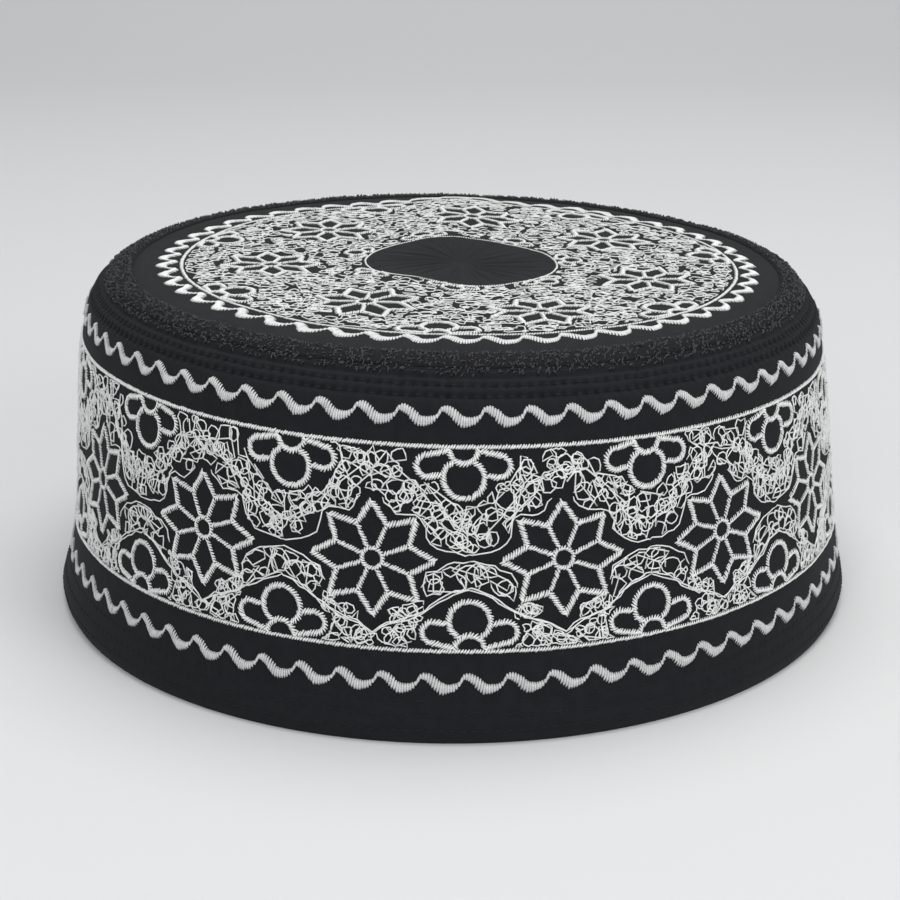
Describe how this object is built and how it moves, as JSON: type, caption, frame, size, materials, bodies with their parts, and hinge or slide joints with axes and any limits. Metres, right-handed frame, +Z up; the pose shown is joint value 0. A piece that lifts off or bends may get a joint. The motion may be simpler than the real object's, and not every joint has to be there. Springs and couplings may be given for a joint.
{
  "type": "kufi",
  "caption": "Round brimless black cloth cap with a tall tapering side band, rounded shoulder and nearly flat crown, embroidered in white; worn on the head.",
  "frame": {"origin": "middle of the rim, on the surface that the cap stands on", "axes": "+Z up through the crown, -Y to the front of the cap, +X to the wearer's left as seen at the right of the front view"},
  "size_m": [0.1834, 0.1926, 0.0759],
  "materials": {
    "band_cloth": "matte black cotton cloth",
    "crown_cloth": "matte black cotton cloth",
    "black_thread": "fuzzy black sewing thread",
    "white_thread": "silky white embroidery thread"
  },
  "bodies": {
    "root": {"side_band": "band_cloth", "crown_top": "crown_cloth", "seam_ridge": "black_thread"}
  },
  "joints": []
}
